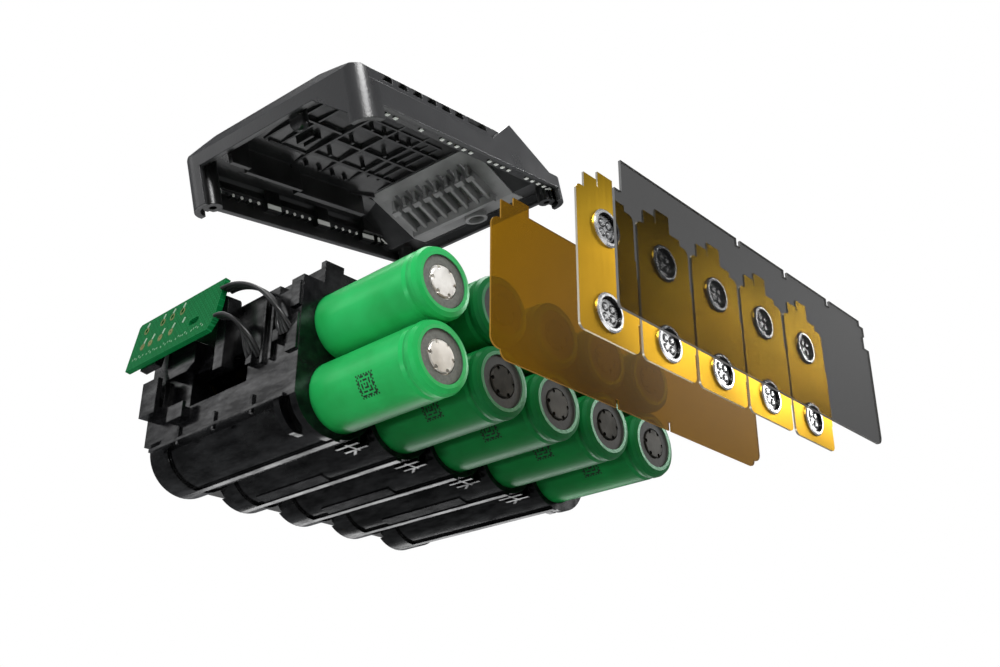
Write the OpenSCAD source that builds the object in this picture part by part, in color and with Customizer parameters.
// Slide-on battery pack for a cordless tool, drawn as it is pulled apart for a look inside:
// ten green cells half out of their moulded carrier, the amber film, the five gold contact
// plates and the grey sheet standing in front of them, the upper case lifted off.
// +X runs along the row of cell columns, -Y is the side that the cells are pulled out to.

/* [Cells] */
// Diameter of the bare steel can
can_d = 18.2; // [17.8:0.1:18.4]
// Length over the sleeved cell
cell_len = 65.2; // [62:0.2:66]
// Wall of the green sleeve
sleeve_wall = 0.2; // [0.15:0.05:0.3]
// Radius of the hole that the sleeve leaves at the positive end
sleeve_mouth_r = 6.8; // [6.4:0.1:7.2]
// Radius of the positive cap
cap_r = 4.1; // [3.6:0.1:4.4]
// Distance from the positive end to the crimp groove
groove_back = 3.6; // [3.2:0.2:5]
// Distance between the cell columns
col_pitch = 20.4; // [20.2:0.1:21.4]
// Distance between the two rows
row_pitch = 19.4; // [19.3:0.1:20.6]
// How far the cells are pulled out of the carrier
cell_pull = 37.4; // [0:0.2:50]

/* [Carrier] */
// Width of the carrier over its end walls
carrier_w = 109; // [108:0.5:114]
// Space that the carrier leaves behind the seated cells
rear_end = 4.8; // [4:0.1:6]
// Radial clearance of a cell in its bore
bore_gap = 0.2; // [0.1:0.05:0.3]
// Wall of the half-round channels under the lower row
tube_wall = 1.5; // [1.1:0.1:1.6]
// Height that the rear collar and the ridges stand below the channels
foot_h = 0.7; // [0.5:0.1:1.6]
// Wall over the upper bores
top_wall = 0.9; // [0.8:0.1:2]
// Thickness of the front flange
flange_t = 2.4; // [1.6:0.1:4]
// Thickness of the rear collar
collar_t = 9; // [6:0.5:12]
// Radius of the openings that the rear contacts reach through
rear_open_r = 7; // [6:0.1:8]
// Height of the ledge on the end walls
ledge_z = 9.2; // [8:0.1:11]
// Width of the window in the end wall
window_w = 26.4; // [20:0.2:30]
// Height of the window in the end wall
window_h = 9; // [6:0.2:10]
// Height of the frame that holds the control board
frame_h = 4.6; // [3.6:0.1:6]

/* [Film, plates and sheet] */
// Width of the amber film
film_w = 103; // [98:0.5:106]
// Height of the amber film
film_h = 37; // [35:0.5:40]
// Thickness of the amber film
film_t = 0.4; // [0.3:0.05:0.6]
// How far the film is pulled out
film_pull = 63.9; // [45:0.2:70]
// Width of a contact plate
plate_w = 19; // [17:0.1:19.6]
// Height of a contact plate without its tab
plate_h = 34.2; // [32:0.1:36]
// Thickness of a contact plate
plate_t = 0.5; // [0.4:0.05:0.8]
// Height of the lower weld cup above the plate's lower edge
cup_z = 6.3; // [5.6:0.1:7]
// Radius of a weld cup
cup_r = 4.3; // [3.8:0.1:4.6]
// How far the plates are pulled out
plate_pull = 84.6; // [70:0.2:90]
// Width of the grey sheet
sheet_w = 106; // [98:0.5:108]
// Height of the grey sheet
sheet_h = 33.2; // [30:0.2:36]
// Thickness of the grey sheet
sheet_t = 0.6; // [0.4:0.05:1]
// How far the sheet is pulled out
sheet_pull = 94.2; // [92:0.2:110]

/* [Gauge board] */
// Length of the gauge board
gauge_l = 44; // [40:0.5:46]
// Height of the gauge board
gauge_h = 15.8; // [14:0.2:18]
// Thickness of the gauge board
gauge_t = 1.6; // [1:0.1:2]
// Distance from the end wall to the middle of the gauge board
gauge_out = 5.4; // [5:0.1:8]
// Height of the middle of the gauge board
gauge_z = 41.1; // [40:0.1:44]
// Tilt of the gauge board
gauge_tilt = 9.8; // [6:0.2:12]

/* [Control board] */
// Length of the control board
board_l = 84; // [76:0.5:86]
// Width of the control board
board_w = 62; // [56:0.5:64]
// Thickness of the control board
board_t = 1.6; // [1:0.1:2]
// Height of the ledges under the control board
board_rise = 1.4; // [1:0.1:2]
// Height of a terminal blade above the control board
blade_h = 7.4; // [6:0.1:8]

/* [Upper case] */
// Length of the case
case_l = 116; // [115:0.5:122]
// Width of the case
case_w = 80; // [79:0.5:86]
// Wall of the case
case_wall = 2; // [1.6:0.1:2.4]
// Height of the roof along the middle line
roof_z = 23.2; // [22:0.1:25]
// Height of the roof at the long edges
edge_z = 17.8; // [17:0.1:19]
// Height of the low deck
deck_z = 9.4; // [9:0.1:11]
// Height of the rim between the corner legs
rim_z = 4.6; // [4:0.1:6]
// Height of the opening for the gauge in the end wall
gauge_mouth_z = 14; // [12:0.1:15]
// Height of the side windows
slot_h = 2.6; // [1.6:0.1:2.8]
// Length of a side window
slot_l = 5; // [4:0.1:6]
// Distance between the side windows
slot_pitch = 7.5; // [7:0.1:8]
// Bore of the case screw bosses
screw_d = 2.5; // [2:0.1:3]
// How far the case is lifted, and how far it is moved along each axis
case_lift = 113.7; // [100:0.1:120]
// Place of the lifted case along X
case_x = 15.3; // [0:0.1:20]
// Place of the lifted case along Y
case_y = 15.6; // [0:0.1:20]

/* [Hidden] */
$fn = 48;
columns = 5;
rows = 2;
eps = 0.01;
cut = 0.5;

// Cell
sleeve_fit = 0.02;
can_r = can_d / 2;
cell_r = can_r + sleeve_fit + sleeve_wall;
shoulder_r = 1.4;
base_round = 0.8;
groove_depth = 0.8;
sleeve_dip = 0.3;
groove_w = 2.2;
mouth_depth = 0.6;
ring_t = 0.35;
ring_in_r = cap_r + 0.3;
ring_out_r = sleeve_mouth_r - 0.15;
rear_mouth_r = 7.6;
vents = 6;
vent_r = 0.55;
cell_inset = 0.3;
letters = "abcde";

// Carrier
bore_r = cell_r + bore_gap;
tube_r = bore_r + tube_wall;
axis_low = foot_h + tube_r;
row_z = [axis_low + row_pitch, axis_low];
carrier_h = row_z[0] + bore_r + top_wall;
half_w = carrier_w / 2;
carrier_depth = cell_len + rear_end;
half_d = carrier_depth / 2;
stop_y = cell_inset - half_d + cell_len;
rear_recess = 1.6;
recess_edge = 2.6;
recess_r = 8;
recess_w = carrier_w - 2 * recess_edge;
recess_h = carrier_h - 2 * recess_edge;
frame_wall = 1.8;
frame_x0 = 6.4 - half_w;
frame_x1 = half_w - 12.5;
frame_l = frame_x1 - frame_x0;
clip_out = 4.8;
ridge_w = 1.8;
pad_w = 3.4;
pad_turn = 14;
pad_proud = 0.3;
pad_y = [[-8, 30], [-12, 30], [-20, 34]];
hook_z = 2.6;
corner_rise = 0.3;
window_z = 18.3;
window_y = -0.2;
window_depth = 12;

// Layers
layer_gap = 0.7;
film_y = -half_d - film_pull;
plate_y = -half_d - film_t - plate_pull;
sheet_y = -half_d - film_t - plate_t - layer_gap - sheet_pull;
film_shift = -1.5;
sheet_shift = 1;
plate_round = 3;
tab_h = 4.4;
tab_w = 5;
cup_proud = 0.5;
cup_fit = 0.05;

// Rear contacts
rear_t = 0.5;
rear_sheet_t = 0.6;
rear_fit = 0.15;
rear_cup_depth = half_d - rear_recess - stop_y - 0.3;

// Gauge board
gauge_x = -half_w - gauge_out;
gauge_y = 15.9;
gauge_corner = 3.4;
gauge_holes = [16.6, 7.9, 2.9, -2.4];
gauge_pads = [16.1, 11.9, 6.6, 1.1];
wire_r = 0.7;

// Control board
board_x = (frame_x0 + frame_x1) / 2;
board_z = carrier_h + board_rise;
blades = 7;
blade_pitch = 5;
blade_t = 0.8;
block_x = 22;
comb_w = blades * blade_pitch + 3.2;

// Case
case_tilt = [-4.5, -13.8, 9];
case_round = 7;
case_half_l = case_l / 2;
case_half_w = case_w / 2;
step_x0 = 22;
step_x1 = 46;
deck_half = 24;
deck_t = 2;
lip_fit = 0.25;
leg_w = 7;
crease_z = 12.6;
crease_in = 0.8;
slot_z = 14.8;
slots = 6;
slot_deep = 1.9;
boss_r = 3.2;
boss_in = 6.4;
boss_z = 1.2;
bosses = [[-1, 1], [1, -1], [1, 1]];
ledge_w = 3.6;
screw_depth = 5.2;
rib_t = 1;
rib_h = 1.5;
pin_r = 0.6;

function col_x(c) = (c - (columns - 1) / 2) * col_pitch;
function cell_node(kind, c, r) = str("cell_", kind, "_", letters[c], r + 1);
function plate_node(kind, c) = str(kind, "_", letters[c]);
function circle_z(x, half, mid, edge) =
    let (drop = mid - edge, big = (half * half + drop * drop) / (2 * drop))
    mid - big + sqrt(big * big - x * x);

CELL_NODES = [for (kind = ["can", "sleeve", "ring"]) for (c = [0 : columns - 1])
    for (r = [0 : rows - 1]) cell_node(kind, c, r)];
PLATE_NODES = [for (kind = ["contact_plate", "weld_cups", "rear_plate"])
    for (c = [0 : columns - 1]) plate_node(kind, c)];

// A rectangle with round corners, centred, made of plain squares and circles
module round_rect(w, h, r) {
    square([w - 2 * r, h], center = true);
    square([w, h - 2 * r], center = true);
    for (x = [-1, 1], y = [-1, 1])
        translate([x * (w / 2 - r), y * (h / 2 - r)]) circle(r);
}

// Stands a flat drawing of X and Z up, with its thickness running back along +Y
module upright(t) {
    rotate([90, 0, 0]) translate([0, 0, -t]) linear_extrude(t) children();
}

// Places a cell part: its axis along -Y, the closed end at the back
module at_cell(c, r) {
    translate([col_x(c), stop_y - cell_pull, row_z[r]]) rotate([90, 0, 0]) children();
}

// Steel can, crimped at the positive end, with its vented cap
module cell_can(c, r) {
    low = sleeve_wall;
    high = cell_len - sleeve_wall;
    groove = high - groove_back;
    color("silver") at_cell(c, r) difference() {
        rotate_extrude() polygon([
            [0, low], [can_r - base_round, low], [can_r, low + base_round],
            [can_r, groove - groove_w / 2],
            [can_r - groove_depth, groove],
            [can_r, groove + groove_w / 2],
            [can_r, high - shoulder_r], [can_r - shoulder_r * 0.3, high - shoulder_r * 0.3],
            [can_r - shoulder_r, high], [sleeve_mouth_r, high],
            [sleeve_mouth_r, high - mouth_depth],
            [cap_r, high - mouth_depth], [cap_r, high - 0.1], [cap_r - 0.3, high + 0.1], [0, high + 0.1]]);
        for (i = [0 : vents - 1])
            rotate([0, 0, i * 360 / vents]) translate([cap_r - 0.5, 0, high - mouth_depth + 0.2])
                cylinder(h = 2, r = vent_r, $fn = 24);
    }
}

// Shrunk green sleeve, folded over both ends and drawn into the crimp groove
module cell_sleeve(c, r) {
    inner = can_r + sleeve_fit;
    high = cell_len;
    groove = high - sleeve_wall - groove_back;
    bend = shoulder_r + sleeve_wall;
    fold = high - sleeve_wall + sleeve_fit;
    color("mediumseagreen") at_cell(c, r) rotate_extrude() polygon([
        [rear_mouth_r, 0], [cell_r - base_round, 0], [cell_r, base_round],
        [cell_r, groove - groove_w / 2], [cell_r - sleeve_dip, groove],
        [cell_r, groove + groove_w / 2], [cell_r, high - bend],
        [cell_r - bend * 0.3, high - bend * 0.3], [cell_r - bend, high], [sleeve_mouth_r, high],
        [sleeve_mouth_r, fold], [inner - shoulder_r, fold],
        [inner - shoulder_r * 0.3, fold - shoulder_r * 0.3],
        [inner, high - sleeve_wall - shoulder_r],
        [inner, groove + groove_w / 2], [inner - sleeve_dip, groove],
        [inner, groove - groove_w / 2], [inner, base_round + sleeve_wall],
        [inner - base_round, sleeve_wall - sleeve_fit], [rear_mouth_r, sleeve_wall - sleeve_fit]]);
}

// Grey paper ring that lies round the positive cap
module cell_ring(c, r) {
    color("dimgray") at_cell(c, r)
        translate([0, 0, cell_len - sleeve_wall - mouth_depth]) linear_extrude(ring_t)
            difference() {
                circle(ring_out_r);
                circle(ring_in_r);
            }
}

// Outline of the channels and the block over them
module carrier_section() {
    for (c = [0 : columns - 1]) translate([col_x(c), axis_low]) circle(tube_r);
    translate([-half_w, ledge_z]) square([carrier_w, carrier_h - ledge_z]);
}

// Outline of the rear collar: one larger round under each channel, down to the standing plane
module collar_section() {
    for (c = [0 : columns - 1]) translate([col_x(c), axis_low]) circle(axis_low);
    translate([-half_w, axis_low]) square([carrier_w, carrier_h - axis_low]);
}

// Outline of the front flange, larger than the channels only at its two outer corners
module flange_section() {
    corner_r = axis_low - corner_rise;
    carrier_section();
    for (x = [corner_r - half_w, half_w - corner_r]) translate([x, axis_low]) circle(corner_r);
    translate([-half_w, axis_low]) square([carrier_w, carrier_h - axis_low]);
}

// Two rails, a cross bar and a slanting hook in the valley between two channels
module valley_hook() {
    top = axis_low - tube_r + 5;
    for (x = [-1.5, 1.5]) translate([x - 0.45, flange_t - half_d - eps, hook_z]) cube([0.9, 9, top - hook_z]);
    translate([-2.6, flange_t - half_d + 3.6, hook_z]) cube([5.2, 0.9, top - hook_z]);
    translate([1.2, flange_t - half_d + 5, hook_z]) rotate([0, 0, -38]) cube([0.8, 5.4, top - hook_z]);
}

// A forked clip on the end wall: a base, two prongs and a hooked nose on the outer one
module wall_clip(y0, y1, z0, z1, out) {
    translate([-half_w - out, y0, z0]) cube([out + eps, y1 - y0, 2]);
    translate([-half_w - 1.5, y0 + 1.4, z0]) cube([1.5 + eps, y1 - y0 - 2.8, z1 - z0]);
    translate([-half_w - out, y0, z0]) cube([1.5, y1 - y0, z1 - z0]);
    translate([-half_w - out, y0 + 2, z1 - 1.4]) cube([2.4, y1 - y0 - 4, 1.4]);
    translate([-half_w - out, y1 - 1.5, z0]) cube([out + eps, 1.5, z1 - z0 - 3]);
}

// Black moulded carrier: ten bores, scalloped underside, a frame for the control board on top
// and clips for the gauge board on the end wall
module cell_carrier() {
    color([0.07, 0.07, 0.08]) difference() {
        union() {
            translate([0, flange_t - half_d, 0]) upright(carrier_depth - flange_t - collar_t)
                carrier_section();
            translate([0, -half_d, 0]) upright(flange_t) flange_section();
            translate([0, half_d - collar_t, 0]) upright(collar_t) collar_section();
            // Ridge that each channel stands on
            for (c = [0 : columns - 1]) translate([col_x(c) - ridge_w / 2, -half_d, 0])
                cube([ridge_w, carrier_depth, 2]);
            // Raised pads beside the ridges of the middle channels
            for (c = [1 : 3]) translate([col_x(c), pad_y[c - 1][0], axis_low]) rotate([0, pad_turn, 0])
                translate([-pad_w / 2, 0, -tube_r - pad_proud]) cube([pad_w, pad_y[c - 1][1], 1.5]);
            // Hooks in the valleys near the front edge
            for (c = [0 : columns - 2]) translate([col_x(c) + col_pitch / 2, 0, 0]) valley_hook();
            // Wrapped corner collar behind the flange on the end channels
            for (m = [0, 1]) mirror([m, 0, 0]) translate([0, flange_t - half_d + 4.4, 0]) upright(2.2)
                intersection() {
                    translate([axis_low - corner_rise - half_w, axis_low]) circle(axis_low - corner_rise);
                    translate([-half_w, 2]) square([axis_low - 2, ledge_z]);
                }
            // Frame round the control board
            translate([0, 0, carrier_h - eps]) difference() {
                translate([frame_x0, -half_d, 0]) cube([frame_l, carrier_depth, frame_h]);
                translate([frame_x0 + frame_wall, frame_wall - half_d, -cut])
                    cube([frame_l - 2 * frame_wall, carrier_depth - 2 * frame_wall, frame_h + 2 * cut]);
                translate([-28, -half_d - cut, frame_h - 1.6]) cube([46, frame_wall + 2 * cut, 2 * frame_h]);
            }
            translate([frame_x0, -half_d, carrier_h - eps]) cube([6, frame_wall, frame_h + 1.8]);
            // Ledges that carry the control board
            for (x = [-1, 1], y = [-1, 1])
                translate([board_x + x * (board_l / 2 - 5), y * (board_w / 2 - 5), carrier_h - eps])
                    cylinder(h = board_rise, r = 2.6);
            // Gauge clips, pegs and posts on the end wall
            wall_clip(23.4, 31.4, 18.2, 28.6, clip_out);
            translate([-half_w - 2.8, 12, 14.6]) cube([3, 7.6, 3]);
            translate([-half_w - 2.8, 12, 14.6]) cube([1, 7.6, 4.4]);
            for (y = [-18, -1, 16]) translate([-half_w - 0.6, y, ledge_z - 1]) cube([0.8, 1, 5]);
            translate([-half_w - 0.7, -31, ledge_z]) cube([0.8, 62, 0.9]);
            translate([-half_w - 0.8, 0.5, 29.4]) cube([0.9, 26, 1]);
            translate([-half_w - 3.4, 0, 0]) rotate([90, 0, 90]) linear_extrude(3.5)
                polygon([[7.6, 29], [11, 27.2], [19.6, 27.2], [21.6, 30.6],
                    [21.6, 38.4], [18, 40.2], [7.6, 35]]);
            translate([-half_w - 4, -7.4, 23]) cube([4.1, 4.2, 19]);
            translate([-half_w - 4, -5.3, 42]) rotate([0, 90, 0]) cylinder(h = 4.1, r = 2.1);
            for (y = [-21, -24.6]) translate([-half_w - 1, y, 21]) cube([1.1, 1, 17.5]);
            translate([-half_w - 0.8, 0.2 - half_d, 21]) cube([0.9, 4.4, 9.6]);
            translate([-half_w - 0.8, 0.2 - half_d, 33]) cube([0.9, 3.6, 6.6]);
            // Wire hooks on the end wall
            translate([-half_w - 2.2, -36 + 7, 24.4]) cube([2.3, 2.4, 3.2]);
            translate([-half_w - 2.2, -18, 21.4]) cube([2.3, 2.4, 3.2]);
        }
        for (c = [0 : columns - 1], r = [0 : rows - 1]) translate([col_x(c), 0, row_z[r]]) {
            translate([0, stop_y, 0]) rotate([90, 0, 0])
                cylinder(h = stop_y + half_d + cut, r = bore_r, $fn = 96);
            translate([0, half_d + cut, 0]) rotate([90, 0, 0]) cylinder(h = 8, r = rear_open_r);
        }
        // Window in the end wall that shows the first cells
        translate([-half_w - cut, window_y - window_w / 2, window_z])
            cube([window_depth, window_w, window_h]);
        // Recess for the rear contacts
        translate([0, half_d - rear_recess, 0]) upright(rear_recess + cut)
            translate([0, carrier_h / 2]) round_rect(recess_w, recess_h, recess_r);
        // Wire slot in the top edge of the end wall
        translate([-half_w - cut, -30, carrier_h - 2.6]) cube([6.4 + cut, 5, 4]);
    }
}

// Amber insulating film that goes between the cells and their contact plates
module insulating_film() {
    color([0.75, 0.45, 0.05, 0.8]) translate([0, film_y - film_t, 0]) upright(film_t) difference() {
        union() {
            x0 = film_shift - film_w / 2;
            translate([film_shift, film_h / 2 - 1]) round_rect(film_w, film_h - 6, 2.4);
            translate([film_shift, film_h / 2]) round_rect(film_w - 6, film_h, 2);
            translate([x0 + 7, film_h - 4]) square([5, 7]);
            translate([x0 + 3, film_h - 6]) square([6, 6.8]);
        }
        for (c = [1, 2]) translate([col_x(c) + 8.6, -cut]) square([0.9, 2.2 + cut]);
    }
}

// Outline of one contact plate with its stepped connecting tab
module plate_outline() {
    square_top = plate_h - 1.4;
    translate([0, plate_h / 2 - 0.7]) round_rect(plate_w, plate_h - 1.4, plate_round / 2);
    translate([-plate_w / 2 + 3, plate_h / 2]) square([plate_w - 6, plate_h / 2]);
    translate([-plate_w / 2 + 2.6, plate_h - 4]) square([4.2, 6.2]);
    translate([-plate_w / 2 + 7.2, plate_h - 4]) square([tab_w, 4 + tab_h]);
    translate([-plate_w / 2 + 5, plate_h - 4]) square([3, 4.6]);
    translate([plate_w / 2 - 1.5, 7]) square([1.9, 15]);
}

// Gold contact plate that joins the two cells of a column
module contact_plate(c) {
    color("gold") translate([col_x(c), plate_y - plate_t, 0]) upright(plate_t) difference() {
        plate_outline();
        for (r = [0 : rows - 1]) translate([0, cup_z + r * row_pitch]) circle(cup_r - 0.9);
    }
}

// Stamped nickel cups, one over each cell of a column: a raised ring and a dimpled disc
module weld_cups(c) {
    ring_in = cup_r - 1.15;
    color("gainsboro") for (r = [0 : rows - 1])
        translate([col_x(c), plate_y - plate_t, cup_z + r * row_pitch]) rotate([90, 0, 0]) {
            difference() {
                rotate_extrude() polygon([
                    [0, -plate_t], [cup_r - 0.9 - cup_fit, -plate_t], [cup_r - 0.9 - cup_fit, 0],
                    [cup_r, 0], [cup_r, cup_proud * 0.5], [cup_r - 0.35, cup_proud],
                    [ring_in + 0.25, cup_proud], [ring_in, cup_proud * 0.5], [ring_in, -0.25], [0, -0.25]]);
            }
            for (i = [0 : 3]) rotate([0, 0, 45 + 90 * i]) translate([1.55, 0, -0.25 - eps])
                cylinder(h = 0.3, r1 = 0.9, r2 = 0.5, $fn = 24);
        }
}

// Grey insulating sheet that covers the contact plates
module insulating_sheet() {
    color([0.35, 0.35, 0.35, 0.8]) translate([0, sheet_y - sheet_t, 0]) upright(sheet_t) difference() {
        union() {
            x0 = sheet_shift - sheet_w / 2;
            x1 = sheet_shift + sheet_w / 2;
            translate([x0 + 2.4, 0]) square([sheet_w - 6, sheet_h]);
            translate([x0, 1]) square([6, sheet_h - 8.4]);
            translate([x0 + 1, 0]) square([6, 4]);
            translate([x0 + 1, 1]) circle(1);
            translate([x1 - 6, 2.4]) square([6, sheet_h - 9.8]);
            translate([x1 - 2.4, 2.4]) circle(2.4);
            translate([x1 - 6, 0]) square([3.6, sheet_h - 2]);
            translate([x1 - 6, sheet_h - 4]) square([4.4, 2.6]);
        }
        for (c = [2 : 4]) translate([col_x(c) - 7.6, sheet_h - 1.8]) square([1.6, 1.8 + cut]);
    }
}

// Rear contact plate with two drawn cups that reach the closed ends of the cells
module rear_plate(c) {
    face = half_d - rear_recess;
    color("goldenrod") {
        translate([col_x(c), face, 0]) upright(rear_t) translate([0, axis_low + row_pitch / 2])
            round_rect(col_pitch - 2, row_pitch + 12, 2);
        for (r = [0 : rows - 1]) translate([col_x(c), face + eps, row_z[r]]) rotate([90, 0, 0])
            cylinder(h = rear_cup_depth, r1 = 5.4, r2 = 4.8);
    }
}

// Grey sheet that closes the rear recess over the rear plates
module rear_sheet() {
    color([0.3, 0.3, 0.32]) translate([0, half_d - rear_recess + rear_t, 0]) upright(rear_sheet_t)
        translate([0, carrier_h / 2])
            round_rect(recess_w - 2 * rear_fit, recess_h - 2 * rear_fit, recess_r);
}

// Side view of the case, one wall thickness smaller all round where inset is the wall
module case_side(inset, down) {
    polygon([
        [inset - case_half_l, -down], [inset - case_half_l, 18 - inset],
        [inset - case_half_l + 1.6, 21.4 - inset], [inset - case_half_l + 5, roof_z - inset],
        [step_x0 - inset * 0.3, roof_z - inset], [step_x1 - inset * 0.6, deck_z - inset],
        [case_half_l - inset - 2, deck_z - inset], [case_half_l - inset, deck_z - inset - 1.6],
        [case_half_l - inset, -down]]);
}

// Cross section of the case: crowned roof, and walls set back above the crease
module case_cross(inset, down) {
    half = case_half_w - crease_in - inset;
    steps = 8;
    arch = [for (i = [0 : 2 * steps]) let (y = (half - 1) * (1 - i / steps))
        [y, circle_z(y, half, roof_z - inset, edge_z - inset)]];
    polygon(concat(
        [[-case_half_w + inset, -down], [-case_half_w + inset, crease_z - inset],
         [-half, crease_z + crease_in - inset], [-half, edge_z - inset - 0.8]],
        [for (i = [0 : 2 * steps]) arch[2 * steps - i]],
        [[half, edge_z - inset - 0.8], [half, crease_z + crease_in - inset],
         [case_half_w - inset, crease_z - inset], [case_half_w - inset, -down]]));
}

// Solid form of the case: side view, cross section and plan met in one body
module case_form(inset, down) {
    intersection() {
        translate([0, -case_half_w, 0]) upright(case_w) case_side(inset, down);
        translate([-case_half_l, 0, 0]) rotate([90, 0, 90]) linear_extrude(case_l) case_cross(inset, down);
        translate([0, 0, -down]) linear_extrude(roof_z + down + 1)
            round_rect(case_l - 2 * inset, case_w - 2 * inset, case_round - inset);
    }
}

// Triangular cheek that guards the step on each long side
module case_cheek() {
    upright(5.6) polygon([[7.8, 10], [12.6, 14.4], [23.6, 21.8], [46.6, deck_z], [46.6, 8], [7.8, 8]]);
}

// Everything inside the roof: ribs, pegs, strips, pins and bosses
module case_inside() {
    roof_in = roof_z - case_wall;
    // Ribs along and across the ceiling
    for (y = [-10, 0.8, 11.4, 21.6])
        translate([-24, y - rib_t / 2, roof_in - rib_h]) cube([46, rib_t, 4.4]);
    for (x = [-24, -10.4, 3.4, 20])
        translate([x - rib_t / 2, -20, roof_in - rib_h]) cube([rib_t, 42, 3.8]);
    for (y = [-3.2, 13.6, 22.8])
        translate([-42, y - rib_t / 2, roof_in - rib_h]) cube([17, rib_t, 4]);
    // Shallow trays and thin cross lines between the ribs
    for (x = [-44, -37.2, 8, 13.4]) translate([x, -26, roof_in - 1.1]) cube([0.8, 40, 3]);
    for (y = [-24, -16.4]) translate([-46, y, roof_in - 1.6]) cube([60, 0.8, 3]);
    for (x = [-34, -30.6]) translate([x, 2, roof_in - 2.4]) cube([1.2, 7, 3]);
    // Pegs in rows
    for (x = [-20.5, -13.8, -7.1, -0.4], y = [-12.6, 17.6])
        translate([x - 0.5, y - 0.6, roof_in - 3]) cube([1, 1.2, 5]);
    for (x = [-19.2, -1.9], y = [-2.6, 7.6])
        translate([x - 0.5, y - 0.6, roof_in - 3]) cube([1, 1.2, 5]);
    // Long strip ledges beside the rear wall
    translate([-55, 18.9, 10.6]) cube([8.4, 1.6, 12]);
    translate([-46, 21.4, 10.6]) cube([26, 1.4, 12]);
    translate([-20, 23.8, 11]) cube([36, 2.2, 12]);
    translate([27, 33.6, 11]) cube([13, 1.4, 8]);
    // Blocks between the groups of pins on the rear wall
    for (x = [-23, 2.6, 28]) translate([x, case_half_w - case_wall - 2.4, 8.4]) cube([6.4, 2.6, 8]);
    // Ledge inside the front wall, with small studs under it
    translate([-54, case_wall - case_half_w - eps, rim_z + 1.2]) cube([108, ledge_w, 1.6]);
    // Pins on the rear wall
    for (x = [-48.4, -44.4, -40.4, -27.6, -16.6, -12.5, -8.4, -4.4, -0.4,
              10.8, 14.8, 18.8, 22.8, 34.7, 38.7, 42.7, 46.7, 50.7])
        translate([x - 0.7, case_wall - case_half_w + 1, rim_z + 0.6]) cube([1.4, 1.3, 1]);
    for (x = [-39.2, -35.3, -31.4, -27.5, -13.6, -9.7, -5.8, -1.9, 12.4, 16.3, 20.2, 24.1, 44, 47.6, 51.2])
        translate([x, case_half_w - case_wall + eps, 9.8]) rotate([90, 0, 0])
            cylinder(h = 2.4, r = pin_r, $fn = 16);
    // Low rail that runs behind the rear pins, and its brackets
    translate([-50, case_half_w - case_wall - 1, 12.2]) cube([104, 1 + eps, 1]);
    for (x = [-50, -46, 33, 37, 41]) translate([x, case_half_w - case_wall - 2.6, 8.6]) cube([1, 2.6, 4.4]);
    // Round-ended boss on the end wall
    translate([case_wall - case_half_l + 2.6, -9.6, 12]) {
        cylinder(h = 9, r = 3);
        sphere(3);
    }
    // Cross braces behind the step
    for (a = [34, -12]) translate([8, 24, roof_in - 3]) rotate([0, 0, a]) cube([22, 0.8, 3]);
}

// Black moulded upper case, lifted off and seen from inside
module upper_case() {
    color([0.1, 0.1, 0.11]) translate([case_x, case_y, case_lift]) rotate(case_tilt) difference() {
        union() {
            difference() {
                union() {
                    case_form(0, 0);
                    intersection() {
                        for (y = [-case_half_w, case_half_w - 5.6]) translate([0, y, 0]) case_cheek();
                        linear_extrude(roof_z) round_rect(case_l, case_w, case_round);
                    }
                }
                case_form(case_wall, 1);
            }
            intersection() {
                case_inside();
                case_form(case_wall - eps, 0);
            }
            // Screw bosses in three corners, webbed to the end walls; the fourth has only the ledge
            intersection() {
                for (b = bosses)
                    translate([b[0] * (case_half_l - boss_in), b[1] * (case_half_w - boss_in), boss_z]) {
                        cylinder(h = roof_z, r = boss_r);
                        translate([b[0] * boss_in / 2 - boss_in / 2, -rib_t / 2, 0])
                            cube([boss_in, rib_t, roof_z]);
                    }
                case_form(case_wall - eps, 0);
            }
        }
        // Rim between the corner legs: long sides, far end, and the gauge mouth in the near end
        for (y = [-1, 1]) translate([-case_half_l + leg_w, y * case_half_w - 4, -cut])
            cube([case_l - 2 * leg_w, 8, rim_z + cut]);
        translate([case_half_l - 4, leg_w - case_half_w, -cut]) cube([8, case_w - 2 * leg_w, rim_z + cut]);
        translate([-case_half_l - cut, 0, -cut]) rotate([90, 0, 90]) linear_extrude(case_wall + 1.2 + cut)
            polygon([[-32, 0], [-32, 4], [-19.6, gauge_mouth_z], [30.6, gauge_mouth_z], [30.6, 0]]);
        // Side windows, open in the near wall and blind in the far wall
        for (y = [-case_half_w - 1, case_half_w - slot_deep], i = [0 : slots])
            translate([-47.6 + i * slot_pitch, y, slot_z]) cube([i < slots ? slot_l : 11, 5, slot_h]);
        // Opening that the terminal deck closes
        translate([step_x0 - 1.4, -deck_half - lip_fit, -cut])
            cube([case_half_l - step_x0 - 4, 2 * (deck_half + lip_fit), roof_z + 1]);
        // Bores of the screw bosses
        for (b = bosses)
            translate([b[0] * (case_half_l - boss_in), b[1] * (case_half_w - boss_in), boss_z - cut])
                cylinder(h = screw_depth + cut, d = screw_d, $fn = 32);
    }
}

// Side view of the terminal deck, which fills the step and the low deck
module deck_side(inset) {
    polygon([
        [step_x0 - 0.9, roof_z - inset - 0.3], [step_x0 + 0.4 - inset * 0.3, roof_z - inset - 0.3],
        [step_x1 - inset * 0.6, deck_z - inset], [case_half_l - 5.8, deck_z - inset],
        [case_half_l - 5.8, deck_z - inset - deck_t], [step_x1 - inset * 0.6 - 1, deck_z - inset - deck_t],
        [step_x0 - 0.9, roof_z - inset - deck_t - 1.4]]);
}

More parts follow.
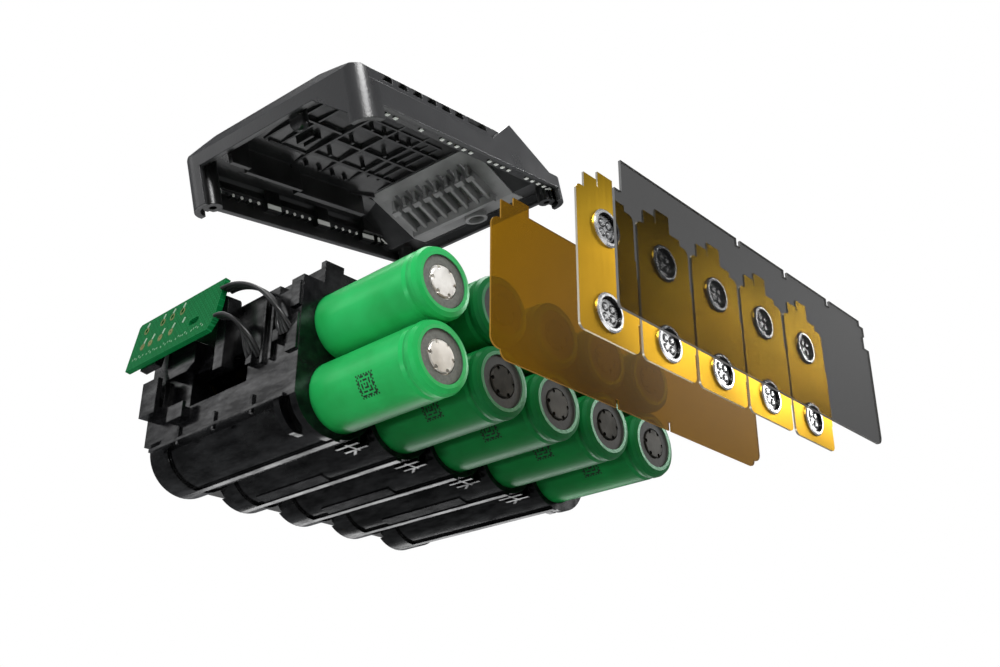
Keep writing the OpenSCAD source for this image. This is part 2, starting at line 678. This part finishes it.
// Mid-grey terminal deck: comb of slots for the blades, ring boss and rib
module terminal_deck() {
    color([0.4, 0.4, 0.4]) translate([case_x, case_y, case_lift]) rotate(case_tilt) difference() {
        union() {
            translate([0, -deck_half, 0]) upright(2 * deck_half) deck_side(0);
            // Comb ribs under the slope
            for (i = [0 : blades]) translate([0, (i - blades / 2) * blade_pitch - 0.6, 0]) upright(1.2)
                polygon([[26, 16.4], [26, 12.6], [39, 5.4], [43.6, 8.6]]);
            translate([26.4, -comb_w / 2, 11.6]) rotate([0, 30, 0]) cube([2, comb_w, 3]);
            translate([37.8, -comb_w / 2, 4.6]) cube([2.2, comb_w, 3.2]);
            // Ring boss and its rib
            translate([46.6, -5, deck_z - 5]) cylinder(h = 4, r = 4.4);
            translate([49.6, -5.6, deck_z - 4.4]) rotate([0, 0, -32]) cube([2.4, 1.2, 3]);
        }
        translate([46.6, -5, deck_z - 6]) cylinder(h = 4.4, r = 3.1);
        // Slots that the blades come up through
        for (i = [0 : blades - 1]) translate([25.4, (i - (blades - 1) / 2) * blade_pitch - 0.8, 8])
            cube([11, 1.6, 20]);
    }
}

// Control board on its four ledges, with its chips and shunt
module control_board() {
    color([0.05, 0.35, 0.15]) translate([board_x, 0, board_z]) {
        difference() {
            linear_extrude(board_t) round_rect(board_l, board_w, 1.5);
            for (x = [-1, 1], y = [-1, 1])
                translate([x * (board_l / 2 - 5), y * (board_w / 2 - 5), -cut])
                    cylinder(h = board_t + 2 * cut, r = 1.6, $fn = 32);
        }
        for (i = [0 : 3]) translate([-30 + 11 * i, -22, board_t - eps]) cube([6.6, 9.4, 2.3]);
        translate([-26, 2, board_t - eps]) cube([9, 9, 1.6]);
        translate([-6, 6, board_t - eps]) cube([6.2, 5, 1.7]);
        translate([4, -4, board_t - eps]) cylinder(h = 5.2, r = 3.2);
        translate([-36, 18, board_t - eps]) cube([12, 6, 5.4]);
    }
}

// Black block that holds the terminal blades on the control board
module terminal_block() {
    color([0.12, 0.12, 0.12]) translate([block_x, 0, board_z + board_t]) difference() {
        translate([-4.5, -blades * blade_pitch / 2 - 1.5, 0]) cube([9, blades * blade_pitch + 3, 4]);
        for (i = [0 : blades - 1]) translate([-3.4, (i - (blades - 1) / 2) * blade_pitch - blade_t / 2, -cut])
            cube([6.8, blade_t, 4 + 2 * cut]);
    }
}

// Seven spring blades, tinned, standing in the terminal block
module terminal_blades() {
    color("silver") translate([block_x, 0, board_z + board_t]) for (i = [0 : blades - 1])
        translate([0, (i - (blades - 1) / 2) * blade_pitch + blade_t / 2, 0]) rotate([90, 0, 0])
            linear_extrude(blade_t) polygon([
                [-3.4, 0], [3.4, 0], [3.4, blade_h - 1.2],
                [2.2, blade_h], [-2.2, blade_h], [-3.4, blade_h - 1.2]]);
}

// Places a part of the gauge board, whose face is drawn in Y and Z
module at_gauge() {
    translate([gauge_x, gauge_y, gauge_z]) rotate([0, gauge_tilt, 0]) children();
}

// Green gauge board with a cut corner, an oval solder slot and rows of plated holes
module gauge_board() {
    half_l = gauge_l / 2;
    half_h = gauge_h / 2;
    color([0.05, 0.45, 0.2]) at_gauge() difference() {
        translate([-gauge_t / 2, 0, 0]) rotate([90, 0, 90]) linear_extrude(gauge_t) polygon([
            [-half_l, half_h], [-half_l, gauge_corner - half_h], [gauge_corner * 0.7 - half_l, -half_h],
            [half_l, -half_h], [half_l, half_h - 0.8], [half_l - 0.8, half_h]]);
        for (y = gauge_holes) translate([-gauge_t, y, 4.2]) rotate([0, 90, 0])
            cylinder(h = 2 * gauge_t, r = 0.7, $fn = 24);
        for (y = gauge_pads) translate([-gauge_t, y, -1.4]) rotate([0, 90, 0])
            cylinder(h = 2 * gauge_t, r = 0.4, $fn = 16);
        // Oval solder slot
        translate([-gauge_t, -10.9, -2.1]) rotate([90, 0, 90]) linear_extrude(2 * gauge_t) {
            square([2.8, 2], center = true);
            for (y = [-1.4, 1.4]) translate([y, 0]) circle(1, $fn = 24);
        }
    }
}

// Black socket on the back of the gauge board
module gauge_socket() {
    color([0.08, 0.08, 0.08]) at_gauge() translate([gauge_t / 2, 8, -0.8 - gauge_h / 2])
        cube([2.2, 8, 5.4]);
}

// Points of the two flat wire bundles, from the gauge board to the carrier
wires_upper_path = [[-58.6, -6, 45.6], [-58.6, -10, 45.4], [-58.6, -15, 44], [-58.4, -20, 41.6],
    [-58, -25, 38], [-57.6, -28, 34], [-57.2, -29.6, 31], [-56.6, -30.2, 28.4], [-55.2, -30.3, 26.4]];
wires_lower_path = [[-59.8, -6, 37], [-59.8, -9, 36.8], [-59.6, -12.5, 35], [-59, -15.4, 31.6],
    [-58, -17.2, 28], [-56.8, -17.6, 25.2], [-55.2, -17.2, 23.4]];

function unit(v) = v / norm(v);
function path_dir(p, i) = unit(p[min(i + 1, len(p) - 1)] - p[max(i - 1, 0)]);
function ring_at(p, i, w, t, sides) =
    let (d = path_dir(p, i), side = unit(cross(d, [0, 0.3, 1])), up = cross(side, d))
    [for (k = [0 : sides - 1]) let (a = 360 * k / sides) p[i] + side * (w * cos(a)) + up * (t * sin(a))];

// One flat bundle of thin wires swept along its own points
module wire_bundle(p, w, t) {
    sides = 8;
    rings = len(p);
    points = [for (i = [0 : rings - 1]) each ring_at(p, i, w, t, sides)];
    walls = [for (i = [0 : rings - 2]) for (k = [0 : sides - 1])
        [i * sides + k, i * sides + (k + 1) % sides, (i + 1) * sides + (k + 1) % sides, (i + 1) * sides + k]];
    first = [for (k = [0 : sides - 1]) sides - 1 - k];
    last = [for (k = [0 : sides - 1]) (rings - 1) * sides + k];
    polyhedron(points, concat(walls, [first, last]), convexity = 4);
}

// Black wires from the top of the gauge board to the front of the end wall
module wires_upper() {
    color([0.05, 0.05, 0.05]) wire_bundle(wires_upper_path, 3 * wire_r, wire_r);
}

// Black wires from the low end of the gauge board to the middle of the end wall
module wires_lower() {
    color([0.05, 0.05, 0.05]) wire_bundle(wires_lower_path, 3 * wire_r, wire_r);
}

for (c = [0 : columns - 1], r = [0 : rows - 1]) {
    cell_can(c, r);
    cell_sleeve(c, r);
    cell_ring(c, r);
}
for (c = [0 : columns - 1]) {
    contact_plate(c);
    weld_cups(c);
    rear_plate(c);
}
cell_carrier();
insulating_film();
insulating_sheet();
rear_sheet();
upper_case();
terminal_deck();
control_board();
terminal_block();
terminal_blades();
gauge_board();
gauge_socket();
wires_upper();
wires_lower();
